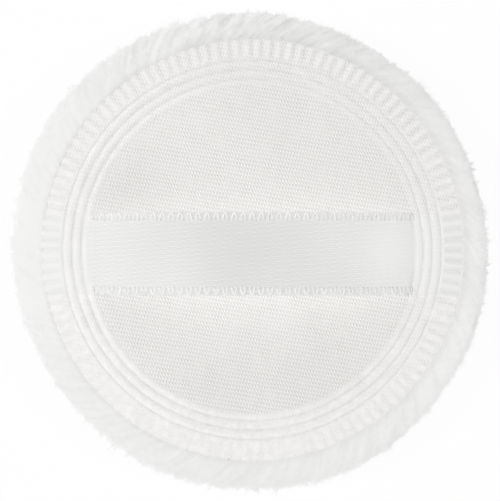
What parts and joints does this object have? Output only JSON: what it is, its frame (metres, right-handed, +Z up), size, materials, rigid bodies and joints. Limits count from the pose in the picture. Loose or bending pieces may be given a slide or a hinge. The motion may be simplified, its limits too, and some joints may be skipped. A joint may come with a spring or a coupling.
{
  "type": "powder puff",
  "caption": "Round plush powder puff with a foam core, a twill back, a heat-pressed border and a satin ribbon strap that holds it on the fingers.",
  "frame": {"origin": "centre of the flat of the plush face, on the table it lies on", "axes": "+Z up through the puff, out of its ribbon side; +X along the ribbon; +Y across the ribbon"},
  "size_m": [0.085, 0.085, 0.0156],
  "materials": {
    "pile": "matte",
    "ground": "matte",
    "foam": "matte",
    "seam": "matte",
    "twill": "matte",
    "satin": "satin"
  },
  "bodies": {
    "puff": {"plush_pile": "pile", "plush_ground": "ground", "foam_core": "foam", "weld_seam": "seam", "backing_cloth": "twill", "ribbon_tab_left": "satin", "ribbon_tab_right": "satin"},
    "strap_crown": {"ribbon_crown": "satin"},
    "strap_left": {"ribbon_side_left": "satin"},
    "strap_right": {"ribbon_side_right": "satin"}
  },
  "joints": [
    {"name": "strap_press", "type": "slide", "parent": "puff", "child": "strap_crown", "axis": [0, 0, -1], "range_m": [0, 0.0039], "stiffness_N_per_m": 10, "springref_m": -0.0005},
    {"name": "fold_left", "type": "hinge", "parent": "puff", "child": "strap_left", "pos_m": [-0.0286, -0.00065, 0.0109], "axis": [0, 1, 0], "range_deg": [0, 11.9]},
    {"name": "fold_right", "type": "hinge", "parent": "puff", "child": "strap_right", "pos_m": [0.0286, -0.00065, 0.0109], "axis": [0, -1, 0], "range_deg": [0, 11.9]}
  ],
  "couplings": [
    {"joint": "fold_left", "follows": "strap_press", "rad_per_m": 52.4},
    {"joint": "fold_right", "follows": "strap_press", "rad_per_m": 52.4}
  ]
}
